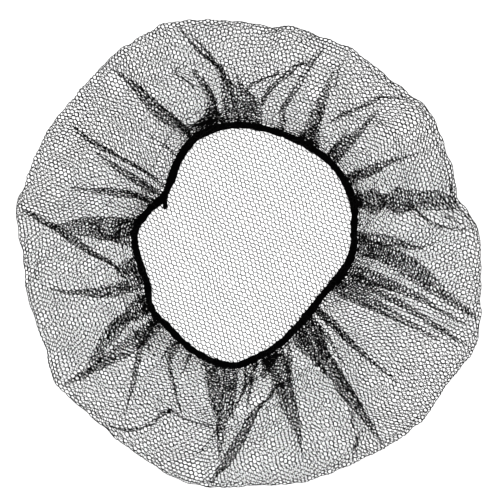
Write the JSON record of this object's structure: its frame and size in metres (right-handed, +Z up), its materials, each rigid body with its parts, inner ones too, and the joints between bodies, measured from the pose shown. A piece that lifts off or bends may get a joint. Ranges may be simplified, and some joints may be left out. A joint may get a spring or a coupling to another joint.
{
  "type": "hairnet",
  "caption": "Soft honeycomb hairnet lying flat, opening up: a gathered round net on a black elastic loop.",
  "frame": {"origin": "on the surface under the middle of the outer edge", "axes": "+Z up out of the opening, +Y towards the top of the picture, +X to its right"},
  "size_m": [0.2602, 0.2625, 0.0152],
  "materials": {
    "netting": "fine black knitted nylon",
    "elastic": "black covered elastic cord, matt"
  },
  "bodies": {
    "root": {"net": "netting", "elastic_band": "elastic", "band_tail": "elastic"}
  },
  "joints": []
}
